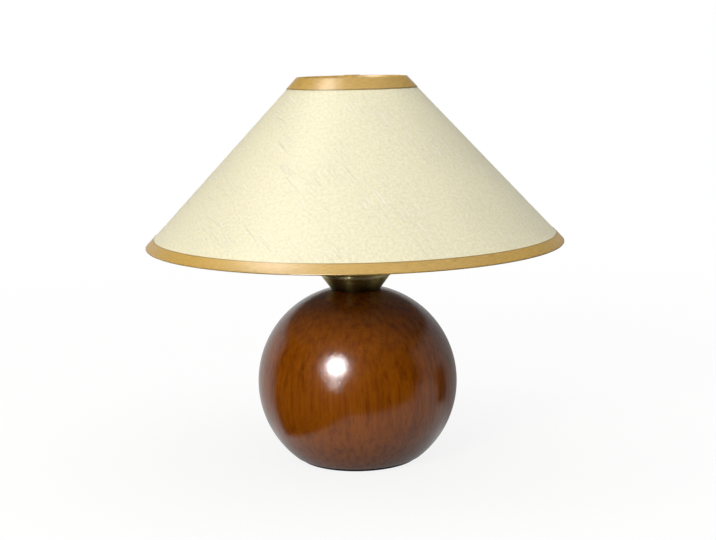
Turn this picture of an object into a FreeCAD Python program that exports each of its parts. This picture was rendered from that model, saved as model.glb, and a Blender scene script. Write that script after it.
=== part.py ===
import FreeCAD, Part
import math
import os
import re

import Sketcher

# Table lamp: a wooden ball base, a brass neck cup, a lampholder with its bulb and a conical fabric shade.
# Millimetres, +Z up, origin on the table under the middle of the base, the cord outlet at the back on +Y.

os.makedirs("parts", exist_ok=True)

SIZES = {
    # wooden ball and what is under it
    "felt_radius": 36.0,
    "felt_thickness": 1.5,
    "ball_radius": 60.5,
    "ball_arc_radius": 58.3,
    "ball_centre_height": 47.0,
    "ball_edge_round": 1.5,
    "ball_seat_radius": 14.6,
    "recess_radius": 12.0,
    "recess_depth": 22.0,
    "cord_hole_height": 10.0,
    "bush_radius": 5.0,
    "bush_bore_radius": 3.5,
    "bush_length": 24.0,
    "bush_setback": 4.5,
    "press_clearance": 0.05,
    # threaded tube and its nuts
    "tube_radius": 5.0,
    "tube_bore_radius": 4.0,
    "tube_tail": 3.0,
    "stem_hole_clearance": 0.25,
    "washer_radius": 11.0,
    "washer_thickness": 1.5,
    "nut_flats": 14.0,
    "nut_height": 4.0,
    "lock_nut_height": 3.0,
    "nut_land": 0.2,
    # brass neck cup
    "cup_foot_radius": 14.2,
    "cup_bead_radius": 18.9,
    "cup_bead_height": 5.4,
    "cup_bead_reach": 0.7,
    "cup_bead_round": 1.1,
    "cup_lip_radius": 23.5,
    "cup_lip_round": 0.6,
    "cup_height": 12.4,
    "cup_wall": 0.8,
    # lampholder
    "collar_radius": 7.5,
    "collar_height": 6.0,
    "grub_radius": 1.5,
    "cap_radius": 20.0,
    "cap_height": 14.2,
    "cap_wall": 1.2,
    "cap_round": 3.0,
    "insert_skirt_height": 4.5,
    "insert_skirt_wall": 2.0,
    "insert_disc_thickness": 4.5,
    "insert_core_radius": 11.5,
    "insert_core_height": 9.0,
    "terminal_spacing": 18.0,
    "terminal_screw_radius": 1.5,
    "terminal_head_radius": 2.8,
    "terminal_head_height": 1.6,
    "side_contact_width": 5.0,
    "side_contact_thickness": 0.5,
    "side_contact_height": 15.0,
    "side_contact_gap": 0.15,
    "contact_standoff": 0.2,
    "shell_bore_radius": 14.4,
    "shell_flange_rise": 9.0,
    "shell_flange_radius": 24.5,
    "shell_flange_thickness": 2.0,
    "shell_neck_radius": 19.7,
    "shell_neck_height": 24.0,
    "contact_head_radius": 3.2,
    "contact_head_height": 1.4,
    "contact_stem_radius": 1.6,
    "contact_stem_length": 9.0,
    "contact_travel": 1.2,
    "contact_reserve": 0.3,
    "running_clearance": 0.05,
    # ring nut that holds the shade
    "ring_clearance": 0.1,
    "ring_flange_radius": 25.5,
    "ring_flange_thickness": 2.0,
    "ring_body_radius": 22.5,
    "ring_slope": 1.0,
    "ring_height": 8.5,
    "ring_scallop_radius": 1.4,
    "ring_scallop_depth": 1.0,
    "seat_gap": 0.05,
    # shade
    "shade_rim_radius": 125.0,
    "shade_top_radius": 32.5,
    "shade_height": 98.2,
    "fitter_rise": 6.2,
    "fitter_hole_radius": 21.0,
    "fitter_ring_radius": 31.0,
    "fitter_ring_thickness": 1.2,
    "arm_radius": 1.25,
    "arm_flat": 4.6,
    "arm_bend": 6.0,
    "arm_end_gap": 0.3,
    "sheet": 0.5,
    "ribbon": 0.3,
    "glue_line": 0.03,
    "wire": 1.0,
    "bottom_trim_width": 7.2,
    "top_trim_width": 9.2,
    "trim_lining_width": 9.0,
    "bottom_fold_angle": 130.0,
    "top_fold_angle": 170.0,
    "flap_angle": 40.0,
    # bulb
    "bulb_gap": 0.3,
    "tip_radius": 4.6,
    "tip_height": 1.2,
    "insulator_top_radius": 11.6,
    "insulator_rise": 3.4,
    "insulator_shoulder": 0.5,
    "insulator_land": 0.8,
    "screw_radius": 13.1,
    "screw_wall": 0.4,
    "screw_taper": 1.2,
    "screw_height": 21.0,
    "glass_neck_radius": 12.4,
    "glass_start": 20.0,
    "glass_neck_rise": 2.4,
    "bulb_length": 74.0,
    "glass_wall": 0.8,
    "stem_radius": 2.5,
    "stem_height": 24.0,
    "lead_radius": 0.35,
    "lead_spread": 9.0,
    "lead_rise": 9.0,
    "filament_radius": 0.25,
}

WORD = re.compile(r"\b[a-z][a-z_]+(?![a-z_(])")

doc = FreeCAD.newDocument("TableLamp")
sizes = doc.addObject("Spreadsheet::Sheet", "Sizes")
for row, (alias, number) in enumerate(SIZES.items(), start=1):
    sizes.set("A%d" % row, alias.replace("_", " "))
    sizes.set("B%d" % row, str(number))
    sizes.setAlias("B%d" % row, alias)
doc.recompute()


def bound(text):
    """The expression with each size name pointing at its cell."""
    return WORD.sub(lambda found: "Sizes." + found.group(0), text)


def value(text):
    """The number that an expression of size names gives."""
    return float(sizes.evalExpression(bound(text)))


def origin_feature(body, role):
    return next(item for item in body.Origin.OriginFeatures if item.Role == role)


def make_body(name, lift="0"):
    """A body whose own origin stands at the height that the expression gives."""
    body = doc.addObject("PartDesign::Body", name)
    body.Label = name
    body.setExpression("Placement.Base.z", bound(lift))
    return body


def sketch_on(body, role, name):
    sketch = body.newObject("Sketcher::SketchObject", name)
    sketch.AttachmentSupport = (origin_feature(body, role), [""])
    sketch.MapMode = "FlatFace"
    return sketch


def arc_between(start, end, radius, turn):
    """The shorter arc from start to end: counter-clockwise when turn is 1, clockwise when it is -1."""
    middle = (start + end) * 0.5
    chord = end - start
    sideways = FreeCAD.Vector(-chord.y, chord.x, 0).normalize()
    reach = math.sqrt(max(radius ** 2 - (chord.Length / 2) ** 2, 0.0))
    centre = middle + sideways * reach * turn
    first, last = (start, end) if turn > 0 else (end, start)
    first_angle = math.atan2(first.y - centre.y, first.x - centre.x)
    last_angle = math.atan2(last.y - centre.y, last.x - centre.x)
    if last_angle < first_angle:
        last_angle += 2 * math.pi
    circle = Part.Circle(centre, FreeCAD.Vector(0, 0, 1), radius)
    return Part.ArcOfCircle(circle, first_angle, last_angle)


def outline(sketch, corners):
    """Draw a closed profile. A corner is (x, y), or (x, y, radius, turn) where an arc leads to the next."""
    points = [FreeCAD.Vector(value(corner[0]), value(corner[1]), 0) for corner in corners]
    starts = []
    for index, corner in enumerate(corners):
        here = points[index]
        following = points[(index + 1) % len(points)]
        if len(corner) == 2:
            sketch.addGeometry(Part.LineSegment(here, following), False)
            starts.append(1)
        else:
            sketch.addGeometry(arc_between(here, following, value(corner[2]), corner[3]), False)
            starts.append(1 if corner[3] > 0 else 2)
    for index, corner in enumerate(corners):
        after = (index + 1) % len(corners)
        sketch.addConstraint(Sketcher.Constraint("Coincident", index, 3 - starts[index], after, starts[after]))
        for kind, axis, text, number in (
            ("DistanceX", -2, corner[0], points[index].x),
            ("DistanceY", -1, corner[1], points[index].y),
        ):
            if text == "0":
                sketch.addConstraint(Sketcher.Constraint("PointOnObject", index, starts[index], axis))
                continue
            place = sketch.addConstraint(Sketcher.Constraint(kind, -1, 1, index, starts[index], number))
            sketch.setExpression("Constraints[%d]" % place, bound(text))
        if len(corner) == 4:
            rounding = sketch.addConstraint(Sketcher.Constraint("Radius", index, value(corner[2])))
            sketch.setExpression("Constraints[%d]" % rounding, bound(corner[2]))


def circle_in(sketch, x, y, radius):
    """Draw a circle bound to its place and radius."""
    centre = FreeCAD.Vector(value(x), value(y), 0)
    ring = sketch.addGeometry(Part.Circle(centre, FreeCAD.Vector(0, 0, 1), value(radius)), False)
    for kind, axis, text, number in (("DistanceX", -2, x, centre.x), ("DistanceY", -1, y, centre.y)):
        if text == "0":
            sketch.addConstraint(Sketcher.Constraint("PointOnObject", ring, 3, axis))
            continue
        place = sketch.addConstraint(Sketcher.Constraint(kind, -1, 1, ring, 3, number))
        sketch.setExpression("Constraints[%d]" % place, bound(text))
    size = sketch.addConstraint(Sketcher.Constraint("Radius", ring, value(radius)))
    sketch.setExpression("Constraints[%d]" % size, bound(radius))


def turned(name, corners, lift="0"):
    """A body turned round its Z axis from a profile in its XZ plane."""
    body = make_body(name, lift)
    sketch = sketch_on(body, "XZ_Plane", name + "_profile")
    outline(sketch, corners)
    spin = body.newObject("PartDesign::Revolution", name + "_turned")
    spin.Profile = sketch
    spin.ReferenceAxis = (sketch, ["V_Axis"])
    spin.Angle = 360
    doc.recompute()
    return body


def pocket(body, sketch, name, length=None, upwards=False):
    """Cut a sketch out of the body, through all of one side or to a length, and make sure that it cut."""
    before = body.Shape.Volume
    cut = body.newObject("PartDesign::Pocket", name)
    cut.Profile = sketch
    cut.Reversed = upwards
    if length is None:
        cut.Type = "ThroughAll"
    else:
        cut.setExpression("Length", bound(length))
    doc.recompute()
    if body.Shape.Volume > before * (1 - 1e-6):
        raise RuntimeError(name + " cut nothing")
    return cut


def ring_profile(inner, outer, height):
    return [(inner, "0"), (outer, "0"), (outer, height), (inner, height)]


def hex_nut(name, height, lift):
    """A hexagon nut on the threaded tube, its corners taken off by a cone on both faces."""
    body = make_body(name, lift)
    sketch = sketch_on(body, "XY_Plane", name + "_hexagon")
    half = "nut_flats / 2"
    side = "nut_flats / 2 * tan(30)"
    point = "nut_flats / 2 / cos(30)"
    outline(sketch, [
        (point, "0"), (side, half), ("-" + side, half),
        ("-" + point, "0"), ("-" + side, "-" + half), (side, "-" + half),
    ])
    block = body.newObject("PartDesign::Pad", name + "_block")
    block.Profile = sketch
    block.setExpression("Length", bound(height))
    doc.recompute()
    hole = sketch_on(body, "XY_Plane", name + "_thread")
    circle_in(hole, "0", "0", "tube_radius + press_clearance / 5")
    pocket(body, hole, name + "_bore", upwards=True)
    corners = sketch_on(body, "XZ_Plane", name + "_chamfer")
    outer = "(%s + nut_land)" % point
    flat = "(nut_flats / 2 - nut_land)"
    drop = "(%s - %s) * tan(30)" % (outer, flat)
    outline(corners, [
        (flat, height), (outer, "%s - %s" % (height, drop)), (outer, "%s + nut_land" % height), (flat, "%s + nut_land" % height),
    ])
    groove = body.newObject("PartDesign::Groove", name + "_chamfered")
    groove.Profile = corners
    groove.ReferenceAxis = (corners, ["V_Axis"])
    groove.Angle = 360
    doc.recompute()
    return body


# heights on the lamp's axis, each standing on the one below

BALL_ARC_CENTRE = "(ball_radius - ball_arc_radius)"
BALL_MIDDLE = "(ball_centre_height - felt_thickness)"
BALL_FOOT = "(%s + sqrt(ball_arc_radius ^ 2 - %s ^ 2))" % (BALL_ARC_CENTRE, BALL_MIDDLE)
BALL_TOP = "(%s + sqrt(ball_arc_radius ^ 2 - (ball_seat_radius - %s) ^ 2))" % (BALL_MIDDLE, BALL_ARC_CENTRE)
SEAT = "(felt_thickness + %s)" % BALL_TOP
WASHER = "(felt_thickness + recess_depth - washer_thickness)"
NUT = "(%s - nut_height)" % WASHER
LOCK_NUT = "(%s + cup_wall)" % SEAT
CAP = "(%s + lock_nut_height)" % LOCK_NUT
PLATE_TOP = "(%s + collar_height + cap_wall)" % CAP
INSERT_SHOULDER = "(insert_skirt_height + insert_disc_thickness)"
SHELL = "(%s + %s)" % (PLATE_TOP, INSERT_SHOULDER)
CAP_RIM = "(%s + collar_height + cap_height)" % CAP
SHELL_IN_CAP = "(cap_height - cap_wall - %s)" % INSERT_SHOULDER
FLANGE_TOP = "(%s + %s + shell_flange_rise + shell_flange_thickness)" % (SHELL, SHELL_IN_CAP)
FITTER = "(%s + seat_gap)" % FLANGE_TOP
RING = "(%s + fitter_ring_thickness + seat_gap)" % FITTER
SHADE = "(%s - fitter_rise)" % FITTER
CONTACT_HEAD = "(%s + insert_core_height + contact_travel + contact_reserve)" % SHELL
BULB = "(%s + contact_head_height + bulb_gap)" % CONTACT_HEAD
SLEEVE = "(tube_radius + press_clearance)"


# wooden ball base and what holds it

turned("felt_pad", [("0", "0"), ("felt_radius", "0"), ("felt_radius", "felt_thickness"), ("0", "felt_thickness")])

ball = turned("wood_ball", [
    ("recess_radius", "0"),
    (BALL_FOOT, "0", "ball_arc_radius", 1),
    ("ball_seat_radius", BALL_TOP),
    ("tube_radius + stem_hole_clearance", BALL_TOP),
    ("tube_radius + stem_hole_clearance", "recess_depth"),
    ("recess_radius", "recess_depth"),
], "felt_thickness")
outlet = sketch_on(ball, "XZ_Plane", "cord_hole")
circle_in(outlet, "0", "cord_hole_height - felt_thickness", "bush_radius + press_clearance")
drilled = pocket(ball, outlet, "cord_hole_drilled")
foot_edge = next(
    "Edge%d" % (index + 1)
    for index, edge in enumerate(ball.Shape.Edges)
    if edge.Length > 2 * math.pi * value(BALL_FOOT) * 0.9
    and abs(edge.BoundBox.ZMin - value("felt_thickness")) < 1e-4
    and abs(edge.BoundBox.ZMax - value("felt_thickness")) < 1e-4
)
rounding = ball.newObject("PartDesign::Fillet", "foot_rounding")
rounding.Base = (drilled, [foot_edge])
rounding.setExpression("Radius", bound("ball_edge_round"))
doc.recompute()

turned("base_washer", ring_profile(SLEEVE, "washer_radius", "washer_thickness"), WASHER)
hex_nut("base_nut", "nut_height", NUT)
turned("threaded_tube", ring_profile(
    "tube_bore_radius", "tube_radius",
    "%s - (%s - tube_tail) + cap_wall" % (PLATE_TOP, NUT),
), "%s - tube_tail" % NUT)

bush = turned("cord_bush", ring_profile("bush_bore_radius", "bush_radius", "bush_length"), "cord_hole_height")
BALL_AT_CORD = "(%s + sqrt(ball_arc_radius ^ 2 - (ball_centre_height - cord_hole_height) ^ 2))" % BALL_ARC_CENTRE
bush.Placement.Rotation = FreeCAD.Rotation(FreeCAD.Vector(1, 0, 0), -90)
bush.setExpression("Placement.Base.y", bound("%s - bush_setback - bush_length" % BALL_AT_CORD))


# spun brass neck cup: a cone, a rounded bead, a wider cone and a rolled lip

LIP = "(cup_lip_radius - cup_lip_round)"
LIP_LOW = "(cup_height - 2 * cup_lip_round)"
LOWER_SLOPE = "((cup_bead_radius - cup_foot_radius) / cup_bead_height)"
UPPER_SLOPE = "((%s - cup_bead_radius) / (%s - cup_bead_height))" % (LIP, LIP_LOW)
LOWER_WALL = "(cup_wall * sqrt(1 + %s ^ 2))" % LOWER_SLOPE
UPPER_WALL = "(cup_wall * sqrt(1 + %s ^ 2))" % UPPER_SLOPE
BEAD_LOW = "(cup_bead_height - cup_bead_reach)"
BEAD_HIGH = "(cup_bead_height + cup_bead_reach)"
BELOW_BEAD = "(cup_bead_radius - cup_bead_reach * %s)" % LOWER_SLOPE
ABOVE_BEAD = "(cup_bead_radius + cup_bead_reach * %s)" % UPPER_SLOPE
turned("neck_cup", [
    (SLEEVE, "0"),
    ("cup_foot_radius", "0"),
    (BELOW_BEAD, BEAD_LOW, "cup_bead_round", 1),
    (ABOVE_BEAD, BEAD_HIGH),
    (LIP, LIP_LOW, "cup_lip_round", 1),
    ("cup_lip_radius", "cup_height - cup_lip_round", "cup_lip_round", 1),
    (LIP, "cup_height"),
    ("%s - cup_wall" % LIP, "cup_height"),
    ("%s - %s" % (LIP, UPPER_WALL), LIP_LOW),
    ("%s - %s" % (ABOVE_BEAD, UPPER_WALL), BEAD_HIGH),
    ("%s - %s" % (BELOW_BEAD, LOWER_WALL), BEAD_LOW),
    ("cup_foot_radius + cup_wall * %s - %s" % (LOWER_SLOPE, LOWER_WALL), "cup_wall"),
    (SLEEVE, "cup_wall"),
], SEAT)
hex_nut("lock_nut", "lock_nut_height", LOCK_NUT)


# lampholder

CAP_INNER = "(cap_radius - cap_wall)"
CAP_INNER_ROUND = "(cap_round - cap_wall)"
holder_cap = turned("holder_cap", [
    (SLEEVE, "0"),
    ("collar_radius", "0"),
    ("collar_radius", "collar_height"),
    ("cap_radius - cap_round", "collar_height", "cap_round", 1),
    ("cap_radius", "collar_height + cap_round"),
    ("cap_radius", "collar_height + cap_height"),
    (CAP_INNER, "collar_height + cap_height"),
    (CAP_INNER, "collar_height + cap_round", CAP_INNER_ROUND, -1),
    ("cap_radius - cap_round", "collar_height + cap_wall"),
    (SLEEVE, "collar_height + cap_wall"),
], CAP)
grub_hole = sketch_on(holder_cap, "XZ_Plane", "grub_hole")
circle_in(grub_hole, "0", "collar_height / 2", "grub_radius")
pocket(holder_cap, grub_hole, "grub_hole_drilled")
grub = turned("grub_screw", [
    ("0", "0"),
    ("grub_radius - press_clearance", "0"),
    ("grub_radius - press_clearance", "collar_radius - tube_radius - press_clearance"),
    ("0", "collar_radius - tube_radius - press_clearance"),
], "%s + collar_height / 2" % CAP)
grub.Placement.Rotation = FreeCAD.Rotation(FreeCAD.Vector(1, 0, 0), -90)
grub.setExpression("Placement.Base.y", bound("tube_radius + press_clearance / 2"))

INSERT_RADIUS = "(%s - press_clearance)" % CAP_INNER
insert = turned("holder_insert", [
    ("%s - insert_skirt_wall" % INSERT_RADIUS, "0"),
    ("%s - %s" % (INSERT_RADIUS, CAP_INNER_ROUND), "0"),
    (INSERT_RADIUS, CAP_INNER_ROUND),
    (INSERT_RADIUS, INSERT_SHOULDER),
    ("insert_core_radius", INSERT_SHOULDER),
    ("insert_core_radius", "%s + insert_core_height" % INSERT_SHOULDER),
    ("contact_stem_radius + running_clearance", "%s + insert_core_height" % INSERT_SHOULDER),
    ("contact_stem_radius + running_clearance", "insert_skirt_height"),
    ("%s - insert_skirt_wall" % INSERT_RADIUS, "insert_skirt_height"),
], PLATE_TOP)
terminals = sketch_on(insert, "XY_Plane", "terminal_holes")
for sign in ("", "-"):
    circle_in(terminals, sign + "terminal_spacing / 2", "0", "terminal_screw_radius + press_clearance")
pocket(insert, terminals, "terminal_holes_drilled",
       "insert_skirt_height + insert_disc_thickness * 0.8", upwards=True)


def terminal_screw(name, sign):
    screw = doc.addObject("Part::Cylinder", name + "_shank")
    screw.setExpression("Radius", bound("terminal_screw_radius"))
    screw.setExpression("Height", bound("insert_disc_thickness * 0.7"))
    screw.setExpression("Placement.Base.x", bound(sign + "terminal_spacing / 2"))
    screw.setExpression("Placement.Base.z", bound("%s + insert_skirt_height" % PLATE_TOP))
    head = doc.addObject("Part::Cylinder", name + "_head")
    head.setExpression("Radius", bound("terminal_head_radius"))
    head.setExpression("Height", bound("terminal_head_height"))
    head.setExpression("Placement.Base.x", bound(sign + "terminal_spacing / 2"))
    head.setExpression(
        "Placement.Base.z", bound("%s + insert_skirt_height - terminal_head_height" % PLATE_TOP))
    whole = doc.addObject("Part::Fuse", name)
    whole.Base = screw
    whole.Tool = head
    return whole


screws = doc.addObject("Part::Compound", "terminal_screws")
screws.Label = "terminal_screws"
screws.Links = [terminal_screw("terminal_screw_right", ""), terminal_screw("terminal_screw_left", "-")]

side_contact = make_body("side_contact", SHELL)
strip = sketch_on(side_contact, "XZ_Plane", "side_contact_profile")
STRIP_INNER = "(screw_radius + side_contact_gap)"
STRIP_OUTER = "(screw_radius + side_contact_gap + side_contact_thickness)"
outline(strip, [
    ("insert_core_radius + contact_standoff", "0"),
    (STRIP_OUTER, "0"),
    (STRIP_OUTER, "side_contact_height"),
    (STRIP_INNER, "side_contact_height"),
    (STRIP_INNER, "side_contact_thickness"),
    ("insert_core_radius + contact_standoff", "side_contact_thickness"),
])
strip_pad = side_contact.newObject("PartDesign::Pad", "side_contact_strip")
strip_pad.Profile = strip
strip_pad.SideType = "Symmetric"
strip_pad.setExpression("Length", bound("side_contact_width"))
doc.recompute()

FLANGE_LOW = "(%s + shell_flange_rise)" % SHELL_IN_CAP
FLANGE_HIGH = "(%s + shell_flange_thickness)" % FLANGE_LOW
turned("holder_shell", [
    ("shell_bore_radius", "0"),
    (INSERT_RADIUS, "0"),
    (INSERT_RADIUS, SHELL_IN_CAP),
    ("cap_radius", SHELL_IN_CAP),
    ("cap_radius", FLANGE_LOW),
    ("shell_flange_radius", FLANGE_LOW),
    ("shell_flange_radius", FLANGE_HIGH),
    ("shell_neck_radius", FLANGE_HIGH),
    ("shell_neck_radius", "%s + shell_neck_height" % FLANGE_HIGH),
    ("shell_bore_radius", "%s + shell_neck_height" % FLANGE_HIGH),
], SHELL)

turned("centre_contact", [
    ("0", "-contact_stem_length"),
    ("contact_stem_radius", "-contact_stem_length"),
    ("contact_stem_radius", "0"),
    ("contact_head_radius", "0"),
    ("contact_head_radius", "contact_head_height"),
    ("0", "contact_head_height"),
], CONTACT_HEAD)

shade_ring = turned("shade_ring", [
    ("shell_neck_radius + ring_clearance", "0"),
    ("ring_flange_radius", "0"),
    ("ring_flange_radius", "ring_flange_thickness"),
    ("ring_body_radius", "ring_flange_thickness + ring_slope"),
    ("ring_body_radius", "ring_height"),
    ("shell_neck_radius + ring_clearance", "ring_height"),
], RING)
scallop = sketch_on(shade_ring, "XY_Plane", "grip_scallop")
circle_in(scallop, "ring_flange_radius + ring_scallop_radius - ring_scallop_depth", "0", "ring_scallop_radius")
first_scallop = pocket(shade_ring, scallop, "grip_scallop_cut", upwards=True)
scallops = shade_ring.newObject("PartDesign::PolarPattern", "grip_scallops")
scallops.Originals = [first_scallop]
scallops.Axis = (origin_feature(shade_ring, "Z_Axis"), [""])
scallops.Angle = 360
scallops.Occurrences = 24
shade_ring.Tip = scallops
doc.recompute()


# shade: along is the distance up the slant from the lower rim, inward the depth from the outer face

SLANT = "sqrt((shade_rim_radius - shade_top_radius) ^ 2 + shade_height ^ 2)"
SLANT_SINE = "((shade_rim_radius - shade_top_radius) / %s)" % SLANT
SLANT_COSINE = "(shade_height / %s)" % SLANT
FOLD = "(ribbon + sheet / 2)"
WIRE_INWARD = "(ribbon + sheet + wire)"


def wire_along(fold_angle):
    """How far the wire's centre lies from the sheet's edge when the fold is drawn flat under both."""
    reach = "((sheet / 2 + wire + (wire - sheet / 2) * sin({0})) / -cos({0}))".format(fold_angle)
    return "({0} + {1} * sin({2}) - (wire - sheet / 2) * cos({2}))".format(FOLD, reach, fold_angle)


def slanted(name, corners):
    """A body turned from a profile that is drawn along the slant of the shade."""
    body = make_body(name, SHADE)
    sketch = sketch_on(body, "XZ_Plane", name + "_profile")
    sketch.AttachmentOffset = FreeCAD.Placement(
        FreeCAD.Vector(value("shade_rim_radius"), 0, 0), FreeCAD.Rotation(FreeCAD.Vector(0, 0, 1), 130))
    sketch.setExpression("AttachmentOffset.Base.x", bound("shade_rim_radius"))
    sketch.setExpression("AttachmentOffset.Rotation.Angle", bound("90deg + asin(%s)" % SLANT_SINE))
    outline(sketch, corners)
    spin = body.newObject("PartDesign::Revolution", name + "_turned")
    spin.Profile = sketch
    spin.ReferenceAxis = (origin_feature(body, "Z_Axis"), [""])
    spin.Angle = 360
    doc.recompute()
    return body


def trim_corners(width, fold_angle, from_top):
    """Ribbon that goes down the outside, under the sheet's edge and the wire, and up the lining."""
    up = wire_along(fold_angle)

    def along(text):
        return "(%s - %s)" % (SLANT, text) if from_top else text

    def rim_point(centre_along, centre_inward, radius, angle):
        return (
            along("(%s + %s * cos(%s))" % (centre_along, radius, angle)),
            "%s + %s * sin(%s)" % (centre_inward, radius, angle),
        )

    def flap_end(radius, depth):
        run = "((%s + %s * cos(flap_angle) - (%s)) / sin(flap_angle))" % (WIRE_INWARD, radius, depth)
        return along("(%s + %s * sin(flap_angle) + %s * cos(flap_angle))" % (up, radius, run)), depth

    turn = 1 if from_top else -1
    outer_edge = "(ribbon + sheet / 2)"
    inner_edge = "(sheet / 2)"
    outer_wire = "(wire + ribbon)"
    flap = "(90 - flap_angle)"
    lining = "ribbon + sheet"
    lining_face = "ribbon + sheet + ribbon"
    return [
        (along(width), "0"),
        (along(FOLD), "0", outer_edge, turn),
        rim_point(FOLD, FOLD, outer_edge, fold_angle),
        rim_point(up, WIRE_INWARD, outer_wire, fold_angle) + (outer_wire, turn),
        rim_point(up, WIRE_INWARD, outer_wire, flap),
        flap_end(outer_wire, lining_face),
        (along("trim_lining_width"), lining_face),
        (along("trim_lining_width"), lining),
        flap_end("wire", lining),
        rim_point(up, WIRE_INWARD, "wire", flap) + ("wire", -turn),
        rim_point(up, WIRE_INWARD, "wire", fold_angle),
        rim_point(FOLD, FOLD, inner_edge, fold_angle) + (inner_edge, -turn),
        (along(FOLD), "ribbon"),
        (along(width), "ribbon"),
    ]


def rim_wire(name, fold_angle, from_top):
    """A round wire ring inside the folded edge."""
    up = wire_along(fold_angle)
    along = "(%s - %s)" % (SLANT, up) if from_top else up
    ring = doc.addObject("Part::Torus", name)
    ring.Label = name
    ring.setExpression("Radius1", bound(
        "shade_rim_radius - %s * %s - %s * %s" % (along, SLANT_SINE, WIRE_INWARD, SLANT_COSINE)))
    ring.setExpression("Radius2", bound("wire - press_clearance"))
    ring.setExpression("Placement.Base.z", bound(
        "%s + %s * %s - %s * %s" % (SHADE, along, SLANT_COSINE, WIRE_INWARD, SLANT_SINE)))
    return ring


slanted("shade_cone", [
    (FOLD, "ribbon + glue_line"),
    ("%s - %s" % (SLANT, FOLD), "ribbon + glue_line"),
    ("%s - %s" % (SLANT, FOLD), "ribbon + sheet - glue_line"),
    (FOLD, "ribbon + sheet - glue_line"),
])
slanted("bottom_trim", trim_corners("bottom_trim_width", "bottom_fold_angle", False))
slanted("top_trim", trim_corners("top_trim_width", "top_fold_angle", True))
rim_wire("bottom_wire", "bottom_fold_angle", False)
rim_wire("top_wire", "top_fold_angle", True)

turned("fitter_ring", ring_profile("fitter_hole_radius", "fitter_ring_radius", "fitter_ring_thickness"), FITTER)

# three arms from the fitter ring to the lower wire, each bent once; heights here are from the fitter ring

LOWER_WIRE_UP = wire_along("bottom_fold_angle")
LOWER_WIRE_RADIUS = "(shade_rim_radius - %s * %s - %s * %s)" % (
    LOWER_WIRE_UP, SLANT_SINE, WIRE_INWARD, SLANT_COSINE)
LOWER_WIRE_DROP = "(fitter_rise - %s * %s + %s * %s)" % (
    LOWER_WIRE_UP, SLANT_COSINE, WIRE_INWARD, SLANT_SINE)
ARM_START = "(fitter_ring_radius - arm_flat)"
ARM_LEVEL = "(fitter_ring_thickness + arm_radius)"
arm_start = value(ARM_START)
arm_level = value(ARM_LEVEL)
arm_end = FreeCAD.Vector(value("%s - wire - ribbon - arm_end_gap" % LOWER_WIRE_RADIUS), 0, -value(LOWER_WIRE_DROP))
arm_knee = FreeCAD.Vector(value("fitter_ring_radius + arm_bend"), 0, arm_level)
slope = (arm_end - arm_knee).normalize()
bend_in = arm_knee - FreeCAD.Vector(value("arm_bend"), 0, 0)
bend_out = arm_knee + slope * value("arm_bend")
bisector = ((bend_in - arm_knee).normalize() + slope).normalize()
half_turn = math.asin(min(1.0, bisector.cross(slope).Length))
bend_radius = value("arm_bend") * math.tan(half_turn)
bend_middle = arm_knee + bisector * (bend_radius / math.sin(half_turn) - bend_radius)
first_point = FreeCAD.Vector(arm_start, 0, arm_level)
path = Part.Wire([
    Part.LineSegment(first_point, bend_in).toShape(),
    Part.Arc(bend_in, bend_middle, bend_out).toShape(),
    Part.LineSegment(bend_out, arm_end).toShape(),
])
section = Part.Wire(Part.Circle(first_point, FreeCAD.Vector(1, 0, 0), value("arm_radius")).toShape())
arm = path.makePipeShell([section], True, True)
arm_copies = []
for step in range(3):
    copy = arm.copy()
    copy.rotate(FreeCAD.Vector(0, 0, 0), FreeCAD.Vector(0, 0, 1), 90 + 120 * step)
    arm_copies.append(copy)
arms = doc.addObject("Part::Feature", "fitter_arms")
arms.Label = "fitter_arms"
arms.Shape = Part.makeCompound(arm_copies)
arms.setExpression("Placement.Base.z", bound(FITTER))


# bulb: contact tip, glass insulator, screw cap, globe, and the wires inside

INSULATOR = "(tip_height + insulator_rise + insulator_land)"
turned("bulb_contact", [
    ("0", "0"), ("tip_radius * 0.7", "0"), ("tip_radius", "tip_height * 0.5"),
    ("tip_radius", "tip_height"), ("0", "tip_height"),
], BULB)
turned("bulb_insulator", [
    ("0", "tip_height"),
    ("tip_radius + insulator_shoulder", "tip_height"),
    ("insulator_top_radius", "tip_height + insulator_rise"),
    ("insulator_top_radius", INSULATOR),
    ("0", INSULATOR),
], BULB)
turned("bulb_cap", [
    ("insulator_top_radius + press_clearance / 5", "tip_height + insulator_rise"),
    ("screw_radius", "tip_height + insulator_rise + screw_taper"),
    ("screw_radius", "tip_height + insulator_rise + screw_height"),
    ("screw_radius - screw_wall", "tip_height + insulator_rise + screw_height"),
    ("screw_radius - screw_wall", "tip_height + insulator_rise + screw_taper + screw_wall"),
    ("insulator_top_radius + press_clearance / 5", "tip_height + insulator_rise + insulator_land * 0.75"),
], BULB)

# the globe keeps its share of the bulb's length, and a fillet leads it into the straight neck above the cap
GLOBE_SHARE = 0.304
GLOBE = "(bulb_length * %s)" % GLOBE_SHARE
GLOBE_MIDDLE = "(bulb_length - %s)" % GLOBE
NECK_TOP = "(tip_height + insulator_rise + screw_height + glass_neck_rise)"
FILLET_DROP = "(%s - %s)" % (GLOBE_MIDDLE, NECK_TOP)
FILLET = "((%s ^ 2 / (%s - glass_neck_radius) - %s - glass_neck_radius) / 2)" % (FILLET_DROP, GLOBE, GLOBE)
FILLET_REACH = "(glass_neck_radius + %s)" % FILLET


def globe_joint(radius):
    """Where the globe of this radius passes into its fillet."""
    share = "(%s / (%s + %s))" % (radius, GLOBE, FILLET)
    return "%s * %s" % (FILLET_REACH, share), "%s - %s * %s" % (GLOBE_MIDDLE, FILLET_DROP, share)


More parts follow.
